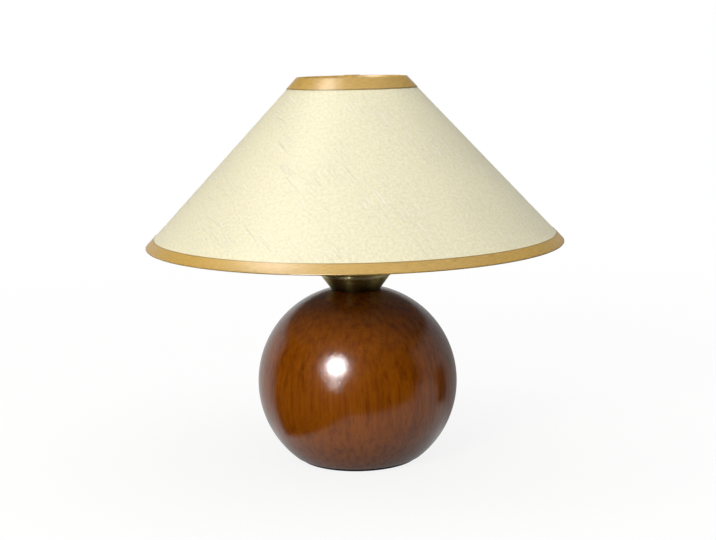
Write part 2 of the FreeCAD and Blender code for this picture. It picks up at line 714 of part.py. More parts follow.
INNER_GLOBE = "(%s - glass_wall)" % GLOBE
turned("bulb_glass", [
    ("glass_neck_radius - glass_wall", "glass_start"),
    ("glass_neck_radius", "glass_start"),
    ("glass_neck_radius", NECK_TOP, FILLET, -1),
    globe_joint(GLOBE) + (GLOBE, 1),
    ("0", "bulb_length"),
    ("0", "bulb_length - glass_wall", INNER_GLOBE, -1),
    globe_joint(INNER_GLOBE) + ("(%s + glass_wall)" % FILLET, 1),
    ("glass_neck_radius - glass_wall", NECK_TOP),
], BULB)

STEM_TOP = "(glass_start + stem_height)"
STEM_FOOT = "(glass_neck_radius - glass_wall - seat_gap)"
turned("bulb_stem", [
    ("0", "glass_start"),
    (STEM_FOOT, "glass_start"),
    (STEM_FOOT, "glass_start + glass_wall"),
    ("stem_radius", "glass_start + stem_height / 2"),
    ("stem_radius", STEM_TOP),
    ("0", STEM_TOP),
], BULB)

stem_top = value(STEM_TOP)
lead_foot = value("stem_radius + lead_radius + seat_gap")
lead_top_x = value("lead_spread")
lead_top_z = stem_top + value("lead_rise")
lead_radius = value("lead_radius")


def straight_wire(start, end, radius):
    run = end - start
    return Part.makeCylinder(radius, run.Length, start, run)


leads = doc.addObject("Part::Feature", "bulb_leads")
leads.Label = "bulb_leads"
lead_shapes = []
for side in (1, -1):
    low = FreeCAD.Vector(side * lead_foot, 0, stem_top - value("lead_rise"))
    high = FreeCAD.Vector(side * lead_top_x, 0, lead_top_z)
    lead_shapes.append(straight_wire(low, high, lead_radius))
leads.Shape = Part.makeCompound(lead_shapes)
leads.setExpression("Placement.Base.z", bound(BULB))

filament = doc.addObject("Part::Feature", "bulb_filament")
filament.Label = "bulb_filament"
half_span = lead_top_x - lead_radius
filament_level = lead_top_z + lead_radius
filament_radius = value("filament_radius")
sag_points = [
    FreeCAD.Vector(-half_span, 0, filament_level),
    FreeCAD.Vector(0, 0, filament_level + half_span / 4),
    FreeCAD.Vector(half_span, 0, filament_level),
]
filament_arc = Part.Arc(*sag_points)
filament_path = Part.Wire(filament_arc.toShape())
direction = filament_arc.tangent(filament_arc.FirstParameter)[0]
filament_section = Part.Wire(Part.Circle(sag_points[0], direction, filament_radius).toShape())
filament.Shape = filament_path.makePipeShell([filament_section], True, True)
filament.setExpression("Placement.Base.z", bound(BULB))

doc.recompute()


# every sub-part is checked, then written

NODES = (
    "felt_pad", "wood_ball", "base_washer", "base_nut", "threaded_tube", "cord_bush", "neck_cup", "lock_nut",
    "holder_cap", "grub_screw", "holder_insert", "side_contact", "terminal_screws", "holder_shell",
    "centre_contact", "shade_ring", "fitter_ring", "fitter_arms", "bottom_wire", "top_wire", "shade_cone",
    "bottom_trim", "top_trim", "bulb_contact", "bulb_insulator", "bulb_cap", "bulb_glass", "bulb_stem",
    "bulb_leads", "bulb_filament",
)
for item in doc.Objects:
    if "Invalid" in item.State or "Error" in item.State:
        raise RuntimeError("%s failed: %s" % (item.Name, item.State))
for name in NODES:
    shape = doc.getObjectsByLabel(name)[0].Shape
    if shape.isNull() or not shape.isValid():
        raise RuntimeError(name + " has no valid shape")
    box = shape.BoundBox
    print("%-16s solids %d volume %10.1f z %7.2f to %7.2f  x %7.2f to %7.2f" % (
        name, len(shape.Solids), shape.Volume, box.ZMin, box.ZMax, box.XMin, box.XMax))
    shape.exportStep("parts/%s.step" % name)
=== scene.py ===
import math

import bpy
from bpy.props import FloatProperty, FloatVectorProperty, IntProperty, PointerProperty
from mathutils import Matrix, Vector


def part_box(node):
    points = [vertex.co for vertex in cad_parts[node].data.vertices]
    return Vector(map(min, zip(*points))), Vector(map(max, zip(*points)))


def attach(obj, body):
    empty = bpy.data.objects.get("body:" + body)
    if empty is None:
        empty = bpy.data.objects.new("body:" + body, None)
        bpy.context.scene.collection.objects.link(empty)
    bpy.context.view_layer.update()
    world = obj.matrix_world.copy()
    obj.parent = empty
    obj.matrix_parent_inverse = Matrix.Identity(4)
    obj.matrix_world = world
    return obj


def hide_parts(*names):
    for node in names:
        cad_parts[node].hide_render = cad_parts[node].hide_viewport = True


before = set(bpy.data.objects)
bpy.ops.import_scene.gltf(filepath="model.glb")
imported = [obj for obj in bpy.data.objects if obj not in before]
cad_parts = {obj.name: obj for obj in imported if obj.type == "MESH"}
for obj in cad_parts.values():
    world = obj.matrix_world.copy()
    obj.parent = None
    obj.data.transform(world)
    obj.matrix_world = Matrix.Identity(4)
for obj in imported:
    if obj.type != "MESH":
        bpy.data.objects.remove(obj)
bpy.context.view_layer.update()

bl_info = {
    "name": "Ball table lamp",
    "version": (1, 0, 0),
    "blender": (4, 5, 0),
    "location": "3D View > Sidebar > Lamp",
    "description": "A table lamp with a lacquered wooden ball base and a conical fabric shade",
    "category": "Add Mesh",
}

MM = 0.001
POLE = 0.01 * MM            # radius of the tiny circles that stand for a point on the axis
BALL_RADIUS = 60.5 * MM     # at the ball's widest circle
BOTTOM_WIDTH = 7.2 * MM     # of the lower ribbon on the outside of the shade
TOP_WIDTH = 9.2 * MM        # of the upper ribbon
LINING_WIDTH = 9.0 * MM     # of both ribbons on the inside of the shade
HAIR = 0.01 * MM            # gap between two faces that lie on each other
GLUE = 0.03 * MM            # thickness of the glue under a ribbon

BLACK = (0, 0, 0)
WHITE = (1, 1, 1)

# name, property that holds its power, size, place, height it aims at, colour, rays that miss it.
# Key and fill light the object; the others show only in its gloss.
LAMPS = (
    ("key", "key_power", 0.40, (-0.50, -1.02, 0.62), 0.08, (1.0, 0.970, 0.89), "glossy"),
    ("fill", "fill_power", 0.50, (-0.85, -0.22, 1.50), 0.18, (1.0, 0.955, 0.90), "glossy"),
    ("glint", "glint_power", 0.31, (-0.485, -0.98, 0.63), 0.08, WHITE, "diffuse"),
    ("halo", "halo_power", 0.72, (-0.53, -1.03, 0.61), 0.08, WHITE, "diffuse"),
    ("low_glint", "low_power", 0.18, (-0.46, -0.97, 0.20), 0.08, WHITE, "diffuse"),
    ("sheen", "sheen_power", 0.55, (-0.72, -0.08, 1.65), 0.15, WHITE, "diffuse"),
)
SCREW_STEPS = 96            # in one turn of a piece with a thread
SCREW_SMOOTH = 60           # degrees between faces that shade as one there
FLOOR_SIZE = 12
SENSOR_WIDTH = 36           # of the camera, in millimetres


def node_top(node):
    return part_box(node)[1].z


def node_bottom(node):
    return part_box(node)[0].z


def node_radius(node):
    low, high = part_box(node)
    return (high.x - low.x) / 2


class LampSizes(bpy.types.PropertyGroup):
    """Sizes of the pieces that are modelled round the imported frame."""

    ball_arc: FloatProperty(
        name="Ball arc", description="Radius of the turned outline of the ball",
        default=58.3 * MM, unit="LENGTH", precision=5)
    ball_middle: FloatProperty(
        name="Ball middle", description="Height of the ball's widest circle above the table",
        default=47.0 * MM, unit="LENGTH", precision=5)
    ball_edge: FloatProperty(
        name="Ball edge", description="Rounding of the ball's lower edge",
        default=1.5 * MM, unit="LENGTH", precision=5)
    sheet: FloatProperty(
        name="Sheet", description="Thickness of the shade's fabric with its lining",
        default=0.5 * MM, unit="LENGTH", precision=5)
    ribbon: FloatProperty(
        name="Ribbon", description="Thickness of the ribbon round the rims",
        default=0.3 * MM, unit="LENGTH", precision=5)
    wire: FloatProperty(
        name="Wire", description="Radius of the shade's wire rings",
        default=1.0 * MM, unit="LENGTH", precision=5)
    steps: IntProperty(
        name="Steps", description="Straight pieces in one turn of a large round piece",
        default=192, min=24)


class LampFinish(bpy.types.PropertyGroup):
    """Colours and gloss of the finishes."""

    wood: FloatVectorProperty(
        name="Wood", description="Middle colour of the stained wood",
        default=(0.425, 0.108, 0.0018), subtype="COLOR", min=0, max=1)
    wood_dark: FloatVectorProperty(
        name="Dark grain", description="Colour of the pores and the dark grain",
        default=(0.280, 0.062, 0.0012), subtype="COLOR", min=0, max=1)
    fabric: FloatVectorProperty(
        name="Fabric", description="Colour of the shade's fabric",
        default=(0.880, 0.830, 0.590), subtype="COLOR", min=0, max=1)
    lining: FloatVectorProperty(
        name="Lining", description="Colour of the shade's smooth lining",
        default=(0.86, 0.85, 0.80), subtype="COLOR", min=0, max=1)
    ribbon: FloatVectorProperty(
        name="Ribbon", description="Colour of the satin ribbon",
        default=(0.610, 0.375, 0.078), subtype="COLOR", min=0, max=1)
    brass: FloatVectorProperty(
        name="Antique brass", description="Colour of the patinated brass",
        default=(0.600, 0.510, 0.170), subtype="COLOR", min=0, max=1)
    lacquer_roughness: FloatProperty(
        name="Lacquer roughness", description="How much the clear lacquer blurs a reflection",
        default=0.055, min=0, max=1, subtype="FACTOR")


class LampStage(bpy.types.PropertyGroup):
    """Camera and light."""

    camera_distance: FloatProperty(
        name="Camera distance", description="From the lamp's axis", default=0.834, unit="LENGTH")
    camera_height: FloatProperty(
        name="Camera height", description="Above the table", default=0.2507, unit="LENGTH")
    camera_side: FloatProperty(
        name="Camera side", description="To the right of the lamp's axis", default=0.0015,
        unit="LENGTH")
    camera_pitch: FloatProperty(
        name="Camera pitch", description="Downwards", default=math.radians(9.25), subtype="ANGLE")
    camera_roll: FloatProperty(
        name="Camera roll", description="Turn about the line of sight", default=math.radians(-1.10),
        subtype="ANGLE")
    lens: FloatProperty(name="Lens", description="Focal length in millimetres", default=70.33)
    key_power: FloatProperty(name="Key light", description="Power in watts", default=6.0)
    fill_power: FloatProperty(
        name="Fill", description="Power in watts of the lamp high on the left", default=3.0)
    glint_power: FloatProperty(
        name="Glint", description="Power in watts of the lamp that shows only in the gloss",
        default=19.0)
    halo_power: FloatProperty(
        name="Halo", description="Power in watts of the wide lamp round the glint", default=6.0)
    low_power: FloatProperty(
        name="Low glint", description="Power in watts of the low lamp that shows in the brass",
        default=0.85)
    sheen_power: FloatProperty(
        name="Sheen", description="Power in watts of the lamp that shows only as a sheen",
        default=9.0)
    sky: FloatProperty(
        name="Sky", description="Strength of the soft light from above", default=1.34)


def deselect_all():
    if bpy.context.object is not None and bpy.context.object.mode != "OBJECT":
        bpy.ops.object.mode_set(mode="OBJECT")
    bpy.ops.object.select_all(action="DESELECT")


def select_only(piece):
    deselect_all()
    bpy.context.view_layer.objects.active = piece
    piece.select_set(True)


def evenly(low, high, count):
    """Numbers from low to high, count equal steps apart."""
    return [low + (high - low) * index / count for index in range(count + 1)]


def tinted(colour, *shares):
    """The colour with each channel times its share, or all times the only share, up to 1."""
    shares = shares * 3 if len(shares) == 1 else shares
    return tuple(min(1.0, channel * share) for channel, share in zip(colour, shares))


def grey(level):
    return (level,) * 3


def arc_points(centre_a, centre_b, radius, start, end, count):
    """Points on an arc in a plane, such as (r, z), with angles in degrees from the first axis."""
    angles = [math.radians(angle) for angle in evenly(start, end, count)]
    return [(centre_a + radius * math.cos(angle), centre_b + radius * math.sin(angle))
            for angle in angles]


def bead_points(start, end, radius, count):
    """Points of the bulging arc of this radius between two (r, z) points."""
    chord = Vector(end) - Vector(start)
    middle = (Vector(start) + Vector(end)) / 2
    reach = math.sqrt(radius ** 2 - (chord.length / 2) ** 2)
    centre = middle + Vector((-chord.y, chord.x)).normalized() * reach
    first = math.degrees(math.atan2(start[1] - centre.y, start[0] - centre.x))
    last = math.degrees(math.atan2(end[1] - centre.y, end[0] - centre.x))
    return arc_points(centre.x, centre.y, radius, first, last, count)


def lathe(name, profile, steps):
    """Extrude a circle along a closed profile of (r, z) points, as on a lathe."""
    deselect_all()
    first_r, first_z = max(profile[0][0], POLE), profile[0][1]
    bpy.ops.mesh.primitive_circle_add(
        vertices=steps, radius=first_r, fill_type="NOTHING", location=(0, 0, first_z))
    piece = bpy.context.object
    piece.name = piece.data.name = name
    bpy.ops.object.transform_apply(location=True, rotation=True, scale=True)
    bpy.ops.object.mode_set(mode="EDIT")
    bpy.ops.mesh.select_all(action="SELECT")
    radius, height = first_r, first_z
    for next_r, next_z in profile[1:] + profile[:1]:
        next_r = max(next_r, POLE)
        bpy.ops.mesh.extrude_region_move(TRANSFORM_OT_translate={"value": (0, 0, next_z - height)})
        scale = next_r / radius
        bpy.ops.transform.resize(value=(scale, scale, 1), center_override=(0, 0, next_z))
        radius, height = next_r, next_z
    bpy.ops.mesh.select_all(action="SELECT")
    bpy.ops.mesh.remove_doubles(threshold=POLE * 0.5)
    bpy.ops.mesh.normals_make_consistent(inside=False)
    bpy.ops.object.mode_set(mode="OBJECT")
    close_poles(piece)
    smooth(piece)
    return piece


def cut_thread(piece, crest, low, high, pitch, depth):
    """Press a rounded helical thread into the wall of radius crest, from low to high."""
    for vertex in piece.data.vertices:
        radius, rise = vertex.co.xy.length, vertex.co.z - low
        if abs(radius - crest) > 0.05 * MM or not low <= vertex.co.z <= high:
            continue
        turn = math.atan2(vertex.co.y, vertex.co.x) / (2 * math.pi)
        wave = 0.5 - 0.5 * math.cos(2 * math.pi * (rise / pitch - turn))
        fade = min(1.0, rise / (pitch * 0.5), (high - vertex.co.z) / (pitch * 0.5))
        scale = (radius - depth * wave * fade) / radius
        vertex.co.x *= scale
        vertex.co.y *= scale
    piece.data.update()


def rise_rows(radius, low, high, count):
    """Points up a straight wall, close enough together to carry a thread."""
    return [(radius, height) for height in evenly(low, high, count)]


def close_poles(piece):
    """Merge the tiny circles that stand for a point on the axis."""
    select_only(piece)
    for vertex in piece.data.vertices:
        vertex.select = vertex.co.xy.length < POLE * 1.5
    if not any(vertex.select for vertex in piece.data.vertices):
        return
    bpy.ops.object.mode_set(mode="EDIT")
    bpy.ops.mesh.select_mode(type="VERT")
    bpy.ops.mesh.remove_doubles(threshold=POLE * 3)
    bpy.ops.object.mode_set(mode="OBJECT")


def smooth(piece, angle=35):
    select_only(piece)
    bpy.ops.object.shade_smooth_by_angle(angle=math.radians(angle))


def add_modifier(piece, kind, name, **settings):
    """Add a modifier, set it up and apply it."""
    modifier = piece.modifiers.new(name, kind)
    for key, setting in settings.items():
        setattr(modifier, key, setting)
    select_only(piece)
    bpy.ops.object.modifier_apply(modifier=modifier.name)


def settle(piece, body, slot, finish, *nodes):
    """The piece rides on its body, takes its material, and stands for the nodes. The slot is not
    used.
    """
    piece.data.materials.clear()
    piece.data.materials.append(finish)
    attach(piece, body)
    if nodes:
        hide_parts(*nodes)


class Nodes:
    """Short calls that build the nodes of a material or the world."""

    def __init__(self, tree):
        self.tree = tree

    def node(self, kind, **settings):
        made = self.tree.nodes.new(kind)
        for key, setting in settings.items():
            setattr(made, key, setting)
        return made

    def link(self, source, target):
        self.tree.links.new(source, target)

    def plug(self, setting, socket):
        """Link an output to the socket, or set a number or a colour on it."""
        if isinstance(setting, bpy.types.NodeSocket):
            self.link(setting, socket)
        elif isinstance(setting, (int, float)):
            socket.default_value = setting
        else:
            socket.default_value = (*setting, 1)

    def math(self, operation, *settings):
        made = self.node("ShaderNodeMath", operation=operation)
        for setting, socket in zip(settings, made.inputs):
            self.plug(setting, socket)
        return made.outputs[0]

    def times(self, first, *others):
        for other in others:
            first = self.math("MULTIPLY", first, other)
        return first

    def less(self, share):
        """What is left of 1."""
        return self.math("SUBTRACT", 1.0, share)

    def step(self, source, low, high, start=0.0, end=1.0):
        """A smooth change from start to end while the source goes from low to high."""
        made = self.node("ShaderNodeMapRange", interpolation_type="SMOOTHSTEP")
        for setting, socket in zip((source, low, high, start, end), made.inputs):
            self.plug(setting, socket)
        return made.outputs["Result"]

    def axes(self, vector):
        parts = self.node("ShaderNodeSeparateXYZ")
        self.link(vector, parts.inputs["Vector"])
        return parts.outputs

    def place(self, kind):
        """The object's coordinates, or in the world the direction."""
        return self.node("ShaderNodeTexCoord").outputs[kind]

    def gap(self, x, y):
        """1 in a narrow sector on the right, which the lacquer shows as a dark upright patch."""
        slope = self.math("DIVIDE", y, self.math("MAXIMUM", x, 0.001))
        return self.times(self.step(slope, 0.16, 0.22), self.step(slope, 0.52, 0.62, 1.0, 0.0))

    def rays(self):
        """1 for the camera's rays and those through glass, and 1 for glossy rays."""
        path = self.node("ShaderNodeLightPath").outputs
        seen = self.math("MAXIMUM", path["Is Camera Ray"], path["Is Transmission Ray"])
        return seen, path["Is Glossy Ray"]


class Finish(Nodes):
    """A material of the object, with calls for its textures and its shader."""

    def __init__(self, name, **settings):
        self.material = bpy.data.materials.get(name) or bpy.data.materials.new(name)
        self.material.use_nodes = True
        super().__init__(self.material.node_tree)
        self.shader = self.tree.nodes["Principled BSDF"]
        for key, setting in settings.items():
            socket = key.replace("_", " ").title().replace("Ior", "IOR")
            self.shader.inputs[socket].default_value = setting

    def coordinates(self, scale=(1, 1, 1), turn=0.0, own_map=None):
        """Object coordinates or the piece's own map, turned about Z, divided by the scale."""
        if own_map:
            source = self.node("ShaderNodeUVMap", uv_map=own_map).outputs["UV"]
        else:
            source = self.place("Object")
        mapping = self.node("ShaderNodeMapping", vector_type="TEXTURE")
        mapping.inputs["Scale"].default_value = scale
        mapping.inputs["Rotation"].default_value = (0, 0, turn)
        self.link(source, mapping.inputs["Vector"])
        return mapping.outputs["Vector"]

    def noise(self, vector, scale, detail=2.0, roughness=0.5, distortion=0.0):
        made = self.node("ShaderNodeTexNoise")
        made.inputs["Scale"].default_value = scale
        made.inputs["Detail"].default_value = detail
        made.inputs["Roughness"].default_value = roughness
        made.inputs["Distortion"].default_value = distortion
        self.link(vector, made.inputs["Vector"])
        return made.outputs["Fac"]

    def ramp(self, source, *stops):
        """A colour ramp: each stop is (place, colour)."""
        made = self.node("ShaderNodeValToRGB")
        elements = made.color_ramp.elements
        while len(elements) < len(stops):
            elements.new(0.5)
        for element, (place, colour) in zip(elements, stops):
            element.position = place
            element.color = (*colour, 1)
        self.link(source, made.inputs["Fac"])
        return made.outputs["Color"]

    def mix(self, factor, low, high, blend="MIX"):
        """Mix two colours. Each setting may be an output."""
        made = self.node("ShaderNodeMix", data_type="RGBA", blend_type=blend)
        for setting, index in ((factor, 0), (low, 6), (high, 7)):
            self.plug(setting, made.inputs[index])
        return made.outputs[2]

    def bump(self, height, strength, distance, under=None):
        made = self.node("ShaderNodeBump")
        made.inputs["Strength"].default_value = strength
        made.inputs["Distance"].default_value = distance
        self.link(height, made.inputs["Height"])
        if under is not None:
            self.link(under, made.inputs["Normal"])
        return made.outputs["Normal"]

    def colour(self, source):
        self.link(source, self.shader.inputs["Base Color"])

    def rough(self, source):
        self.link(source, self.shader.inputs["Roughness"])

    def normal(self, source, coat=False):
        self.link(source, self.shader.inputs["Coat Normal" if coat else "Normal"])


def wood_finish():
    """Stained wood with upright grain and short dark pores under a thick clear lacquer."""
    values = bpy.context.scene.lamp_finish
    made = Finish("lacquered_wood", roughness=0.27, specular_ior_level=0.16, coat_weight=1.0,
                  coat_roughness=values.lacquer_roughness, coat_ior=1.5)
    middle, dark = values.wood, values.wood_dark

    def along_grain(length, *settings, **more):
        return made.noise(made.coordinates(scale=(1, 1, length)), *settings, **more)

    streaks = along_grain(22, 300, detail=4, roughness=0.6, distortion=0.2)
    broad = along_grain(9, 60, detail=3, roughness=0.5, distortion=0.4)
    pores = along_grain(12, 1150, detail=1, roughness=0.4)
    mottle = along_grain(2, 620, detail=3, roughness=0.6)
    tone = made.ramp(streaks, (0.32, dark), (0.50, middle), (0.70, tinted(middle, 1.16, 1.24, 1.4)))
    cloudy = made.ramp(broad, (0.32, (0.93, 0.90, 0.88)), (0.66, grey(1.04)))
    tone = made.mix(0.9, tone, cloudy, blend="MULTIPLY")
    speckled = made.ramp(mottle, (0.36, (0.95, 0.93, 0.91)), (0.62, grey(1.04)))
    tone = made.mix(0.9, tone, speckled, blend="MULTIPLY")
    fleck = made.ramp(pores, (0.27, WHITE), (0.35, BLACK))
    made.colour(made.mix(made.times(fleck, 0.42), tone, tinted(dark, 0.35)))
    made.normal(made.bump(fleck, -0.2, 0.1 * MM))
    peel = made.noise(made.coordinates(), 560, detail=3, roughness=0.6)
    fine_peel = made.noise(made.coordinates(), 1500, detail=1, roughness=0.5)
    peel = made.bump(peel, 0.55, 0.22 * MM)
    made.normal(made.bump(fine_peel, 0.5, 0.10 * MM, under=peel), coat=True)
    return made.material


def felt_finish():
    made = Finish("dark_felt", roughness=0.95, sheen_weight=0.35)
    fibres = made.noise(made.coordinates(), 1600, detail=4, roughness=0.7)
    made.colour(made.ramp(fibres, (0.3, (0.012, 0.016, 0.013)), (0.7, (0.050, 0.058, 0.050))))
    made.normal(made.bump(fibres, 0.8, 0.4 * MM))
    return made.material


def brass_finish():
    """Spun brass with a patina, with painted shade darkening it toward the foot and a painted
    highlight on bead and lip.
    """
    base = bpy.context.scene.lamp_finish.brass
    made = Finish("antique_brass", roughness=0.34, metallic=0.94, anisotropic=0.75,
                  anisotropic_rotation=0.25)
    patina = made.noise(made.coordinates(scale=(1, 1, 0.6)), 230, detail=5, roughness=0.65)
    tone = made.ramp(patina, (0.30, tinted(base, 0.6)), (0.55, base), (0.78, tinted(base, 1.6)))
    seat = node_bottom("neck_cup")
    rise = made.math("SUBTRACT", made.axes(made.coordinates())["Z"], seat)
    rise = made.math("DIVIDE", rise, node_top("neck_cup") - seat)
    # painted shade: the cup's colour darkens toward its foot
    painted_foot_shade = made.ramp(rise, (0.10, WHITE), (0.60, BLACK))
    tone = made.mix(painted_foot_shade, tone, tinted(base, 0.30))
    # painted highlight: a pale gold band on the bead and on the lip
    painted_highlight_band = made.ramp(rise, (0.64, BLACK), (0.69, WHITE), (0.79, WHITE), (0.84, BLACK),
                                (0.93, BLACK), (0.98, WHITE))
    made.colour(made.mix(made.times(painted_highlight_band, 0.9), tone, (0.98, 0.88, 0.52)))
    lathe_marks = made.noise(made.coordinates(scale=(40, 40, 1)), 5200, detail=1)
    made.rough(made.ramp(patina, (0.3, grey(0.52)), (0.7, grey(0.40))))
    made.normal(made.bump(lathe_marks, 0.12, 0.05 * MM))
    return made.material


def fabric_finish():
    """Pearly crepe laminated on a stiff sheet: a fine mottle and slanting raised threads, which are
    painted lighter as a painted highlight.
    """
    base = bpy.context.scene.lamp_finish.fabric
    made = Finish("pearly_crepe", roughness=0.5, specular_ior_level=0.3, sheen_weight=0.15,
                  sheen_roughness=0.4)
    cloth = made.coordinates(own_map="cloth")
    slanting = made.coordinates(scale=(1, 13, 1), turn=math.radians(32), own_map="cloth")
    mottle = made.noise(cloth, 560, detail=4, roughness=0.65)
    threads = made.noise(slanting, 820, detail=2, roughness=0.5, distortion=0.35)
    patches = made.noise(cloth, 30, detail=2, roughness=0.5)
    tone = made.ramp(mottle, (0.34, tinted(base, 0.925, 0.915, 0.88)),
                     (0.64, tinted(base, 1.07, 1.075, 1.12)))
    # painted highlight: the raised threads are painted lighter as well as raised
    ridge_and_painted_highlight = made.times(made.ramp(threads, (0.575, BLACK), (0.65, WHITE)),
                       made.ramp(patches, (0.42, BLACK), (0.56, WHITE)))
    made.colour(made.mix(ridge_and_painted_highlight, tone, tinted(base, 1.10, 1.12, 1.26)))
    under = made.bump(mottle, 0.5, 0.16 * MM)
    made.normal(made.bump(ridge_and_painted_highlight, 0.9, 0.30 * MM, under=under))
    return made.material


def lining_finish():
    base = bpy.context.scene.lamp_finish.lining
    made = Finish("smooth_lining", roughness=0.45)
    grain = made.noise(made.coordinates(), 900, detail=3)
    made.colour(made.ramp(grain, (0.3, tinted(base, 0.96)), (0.7, base)))
    made.normal(made.bump(grain, 0.06, 0.05 * MM))
    return made.material


def ribbon_finish():
    """Satin ribbon: fine threads along it painted between shaded and lit copies of its colour, a
    soft gloss and a dark line along its edges.
    """
    base = bpy.context.scene.lamp_finish.ribbon
    made = Finish("satin_ribbon", roughness=0.34, specular_ior_level=0.8, sheen_weight=0.15,
                  sheen_roughness=0.35)
    threads = made.noise(made.coordinates(scale=(20, 1, 1), own_map="cloth"), 4200, detail=2,
                         roughness=0.6)
    drift = made.noise(made.coordinates(scale=(4, 1, 1), own_map="cloth"), 70, detail=3,
                       roughness=0.6)
    # painted sheen: threads and broad patches blend between a shaded and a lit copy of the ribbon
    # colour
    lit = tinted(base, 1.28, 1.32, 1.5)
    tone = made.ramp(threads, (0.32, tinted(base, 0.72, 0.70, 0.62)), (0.68, lit))
    tone = made.mix(made.times(made.ramp(drift, (0.4, BLACK), (0.7, WHITE)), 0.4), tone, lit)
    from_apex = made.axes(made.coordinates(own_map="cloth"))["Y"]
    slope = shade_slope()
    rim = slope["rim"] / slope["sine"]
    # darker along each ribbon's edge where it meets the fabric
    for edge in (rim - BOTTOM_WIDTH, rim - slope["slant"] + TOP_WIDTH):
        off = made.math("ABSOLUTE", made.math("SUBTRACT", from_apex, edge))
        edge_line = made.ramp(made.math("DIVIDE", off, 1.2 * MM), (0.25, WHITE), (0.70, BLACK))
        tone = made.mix(made.times(edge_line, 0.55), tone, tinted(base, 0.35))
    made.colour(tone)
    made.normal(made.bump(threads, 0.3, 0.06 * MM))
    return made.material


def moulded_finish(name, colour, roughness, grain=2200, depth=0.03):
    """Moulded or ceramic stuff: nearly even, with a fine surface depth millimetres deep."""
    made = Finish(name, roughness=roughness)
    fine = made.noise(made.coordinates(), grain, detail=3)
    broad = made.noise(made.coordinates(), 90, detail=2)
    made.colour(made.ramp(broad, (0.3, tinted(colour, 0.88)), (0.7, colour)))
    dull = grey(min(1, roughness * 1.15))
    made.rough(made.ramp(fine, (0.3, grey(roughness * 0.85)), (0.7, dull)))
    made.normal(made.bump(fine, 0.2, depth * MM))
    return made.material


def metal_finish(name, colour, roughness):
    """Bare or plated metal with a fine uneven polish."""
    made = Finish(name, roughness=roughness, metallic=1.0)
    marks = made.noise(made.coordinates(), 1500, detail=3)
    made.colour(made.ramp(marks, (0.3, tinted(colour, 0.8)), (0.7, colour)))
    made.rough(made.ramp(marks, (0.3, grey(roughness * 1.3)), (0.7, grey(roughness * 0.8))))
    made.normal(made.bump(marks, 0.1, 0.03 * MM))
    return made.material


def clear_finish(name):
    made = Finish(name, roughness=0.0, transmission_weight=1.0, ior=1.45)
    haze = made.noise(made.coordinates(), 300, detail=2)
    made.colour(made.ramp(haze, (0.3, grey(0.97)), (0.7, WHITE)))
    return made.material


def opal_finish():
    """Frosted white glass of the bulb."""
    made = Finish("frosted_glass", roughness=0.35, coat_weight=0.4, coat_roughness=0.08)
    haze = made.noise(made.coordinates(), 500, detail=3)
    made.colour(made.ramp(haze, (0.3, (0.86, 0.86, 0.84)), (0.7, (0.92, 0.92, 0.90))))
    made.normal(made.bump(haze, 0.05, 0.02 * MM))
    return made.material


def paint_node(node, finish):
    """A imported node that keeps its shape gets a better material."""
    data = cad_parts[node].data
    data.materials.clear()
    data.materials.append(finish)


class LAMP_OT_ball(bpy.types.Operator):
    """Turn the wooden ball, with its bore, recess and cord hole, and finish the felt under it"""

    bl_idname = "lamp.ball"
    bl_label = "Wooden ball"

    def execute(self, context):
        sizes = context.scene.lamp_sizes
        bottom, top = node_bottom("wood_ball"), node_top("wood_ball")
        arc, middle, edge = sizes.ball_arc, sizes.ball_middle, sizes.ball_edge
        offset = BALL_RADIUS - arc
        low_angle = math.degrees(math.asin((bottom - middle) / arc))
        high_angle = math.degrees(math.asin((top - middle) / arc))
        past_edge = low_angle + 0.9 * math.degrees(edge / arc)
        foot = offset + arc * math.cos(math.radians(low_angle))
        bore, recess, recess_top = 5.25 * MM, 12 * MM, bottom + 22 * MM
        profile = [(recess, bottom), (foot - edge * 1.1, bottom)]
        profile += [(foot - edge * 0.35, bottom + edge * 0.12)]
        profile += arc_points(offset, middle, arc, past_edge, high_angle, 96)
        profile += [(bore, top), (bore, recess_top), (recess, recess_top)]
        ball = lathe("turned_ball", profile, sizes.steps)
        deselect_all()
        cord_radius, cord_height, reach = 5.1 * MM, 10 * MM, node_radius("wood_ball")
        bpy.ops.mesh.primitive_cylinder_add(
            vertices=48, radius=cord_radius, depth=reach, location=(0, reach / 2, cord_height),
            rotation=(math.radians(90), 0, 0))
        drill = bpy.context.object
        add_modifier(ball, "BOOLEAN", "cord_hole", operation="DIFFERENCE", object=drill,
                     solver="EXACT")
        bpy.data.objects.remove(drill)
        smooth(ball)
        settle(ball, "base", "wood", wood_finish(), "wood_ball")
        paint_node("felt_pad", felt_finish())
        paint_node("cord_bush", moulded_finish("bush_plastic", (0.035, 0.025, 0.018), 0.4))
        return {"FINISHED"}


